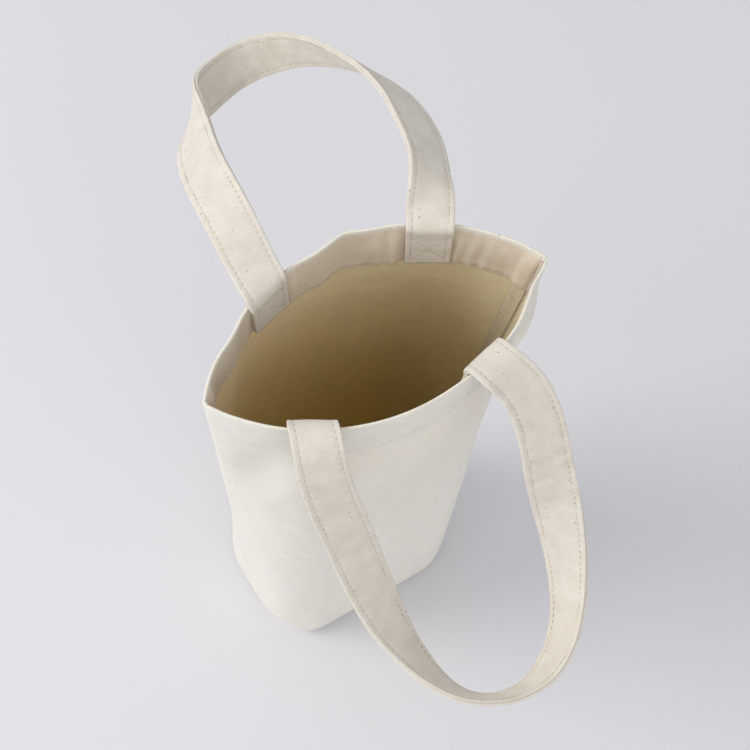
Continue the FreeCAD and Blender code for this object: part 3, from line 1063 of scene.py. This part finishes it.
def dress(obj, material, body="bag", shaded_inner_face=None, turned=None):
    """Gives a piece its materials and the body that it moves with."""
    obj.data.materials.append(material)
    # Material 1 is for the inner faces and material 2 for the turned hem; on the panels both carry painted
    # warm shade.
    obj.data.materials.append(shaded_inner_face or material)
    obj.data.materials.append(turned or material)
    if body:
        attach(obj, body)
    return obj


# Stage

def make_floor():
    """A wide pale floor under the bag."""
    corners = np.array([(-1, -1, 0), (1, -1, 0), (1, 1, 0), (-1, 1, 0)]) * FLOOR_REACH
    floor = make_object("floor", corners, [(0, 1, 2, 3)], smooth=False)
    floor.data.materials.append(floor_material())


def make_light():
    """A broad lamp from the upper left, a weak one from the front, and a sky brighter on the left."""
    for name, size, energy, place in LAMPS:
        lamp = bpy.data.lights.new(name, "AREA")
        lamp.shape = "DISK"
        lamp.size = size
        lamp.energy = energy
        lamp.color = (1.0, 0.985, 0.96)
        obj = bpy.data.objects.new(name, lamp)
        bpy.context.scene.collection.objects.link(obj)
        obj.location = place
        obj.rotation_euler = (LAMP_AIM - obj.location).to_track_quat("-Z", "Y").to_euler()
    world = bpy.data.worlds.new("sky")
    bpy.context.scene.world = world
    world.use_nodes = True
    sky = world.node_tree.nodes["Background"]
    sky.inputs["Color"].default_value = (0.96, 0.97, 1.0, 1.0)
    direction = world.node_tree.nodes.new("ShaderNodeTexCoord")
    across = world.node_tree.nodes.new("ShaderNodeVectorMath")
    across.operation = "DOT_PRODUCT"
    across.inputs[1].default_value = SKY_LEAN
    world.node_tree.links.new(direction.outputs["Generated"], across.inputs[0])
    strength = math_node(world.node_tree, "ADD", across.outputs["Value"], SKY_STRENGTH)
    world.node_tree.links.new(strength, sky.inputs["Strength"])


def make_camera():
    """The photograph's view."""
    camera = bpy.data.cameras.new("camera")
    camera.lens = CAMERA_LENS
    camera.sensor_width = 36.0
    camera.clip_start = 0.01
    view = bpy.data.objects.new("camera", camera)
    bpy.context.scene.collection.objects.link(view)
    right = CAMERA_RIGHT.normalized()
    up = (CAMERA_UP - right * CAMERA_UP.dot(right)).normalized()
    turn = Matrix((right, up, right.cross(up))).transposed()
    view.matrix_world = Matrix.Translation(CAMERA_PLACE) @ turn.to_4x4()
    bpy.context.scene.camera = view


# Build

CREAM = (0.830, 0.785, 0.700, 1.0)
CREAM_SHADE = (0.785, 0.732, 0.640, 1.0)
bag_canvas = canvas("bag_canvas", CREAM, CREAM_SHADE, 0.16, 0.7)
# The turned hem is the same cotton's outer face. Its warmer, darker colour is painted warm shade and
# bounce light from inside the bag.
hem_painted_shade_canvas = canvas("hem_painted_shade_canvas", (0.800, 0.700, 0.565, 1.0), (0.755, 0.650, 0.510, 1.0), 0.25)
# The inside faces are the same cotton as the outside. Their warmer, darker colour is painted warm shade
# and bounce light from inside the bag.
inside_painted_shade_canvas = canvas("inside_painted_shade_canvas", (0.815, 0.720, 0.505, 1.0), (0.765, 0.668, 0.455, 1.0), 0.22, 0.7)
# The seam allowances are the same cotton inside the bag, coloured like the inside faces: painted warm
# shade and bounce light.
seam_canvas = canvas("seam_canvas", (0.810, 0.725, 0.530, 1.0), (0.760, 0.670, 0.480, 1.0), 0.2)
strap_canvas = canvas("strap_canvas", (0.780, 0.730, 0.645, 1.0), (0.700, 0.643, 0.550, 1.0), 0.3)
# The thread is darker than the cloth: partly its own tone, partly painted shade of the stitches' dents.
thread = thread_material("thread", (0.70, 0.62, 0.50, 1.0), (0.46, 0.39, 0.30, 1.0))

front_cloth = panel_cloth(FRONT, "front_cloth")
dress(front_cloth, bag_canvas, shaded_inner_face=inside_painted_shade_canvas, turned=hem_painted_shade_canvas)
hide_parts("front_panel", "front_hem")
back_cloth = panel_cloth(BACK, "back_cloth")
dress(back_cloth, bag_canvas, shaded_inner_face=inside_painted_shade_canvas, turned=hem_painted_shade_canvas)
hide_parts("back_panel", "back_hem")

front_trim = [dress(panel_stitches(FRONT, "front_hem_stitches"), thread)]
back_trim = [dress(panel_stitches(BACK, "back_hem_stitches"), thread)]
for end, word in ((LEFT, "left"), (RIGHT, "right")):
    strip, strip_grid, strip_normals = side_seam_cloth(end, word + "_seam_cloth")
    dress(strip, seam_canvas)
    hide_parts(word + "_side_seam")
    bars = overlock_stitches(strip_grid, strip_normals, word + "_overlock")
    back_trim += [strip, dress(bars, thread)]
    middle = (end * (BASE_LENGTH / 2 - FOOT_RADIUS - SEAM_WIDTH / 2), 0.0)
    length = BASE_DEPTH - 2 * BASE_CORNER
    corner = flat_seam_cloth(word + "_corner_cloth", length, SEAM_WIDTH, middle, along_x=False)
    dress(corner, seam_canvas)
    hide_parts(word + "_corner_seam")
    front_trim.append(corner)
base_strip = flat_seam_cloth("base_seam_cloth", BASE_SEAM_LENGTH, SEAM_WIDTH, (0.0, -SEAM_WIDTH / 2))
dress(base_strip, seam_canvas)
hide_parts("base_seam")
front_trim.append(base_strip)

for side, word in ((FRONT, "front"), (BACK, "back")):
    strap = dress(strap_cloth(side, word + "_strap"), strap_canvas, body=None)
    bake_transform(strap)
    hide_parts(word + "_handle_strap", word + "_left_strap_end", word + "_right_strap_end")
    seam = dress(strap_stitches(side, word + "_strap_stitches"), thread, body=None)
    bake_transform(seam)

make_floor()
make_light()
make_camera()
bpy.context.scene.view_settings.view_transform = "Standard"
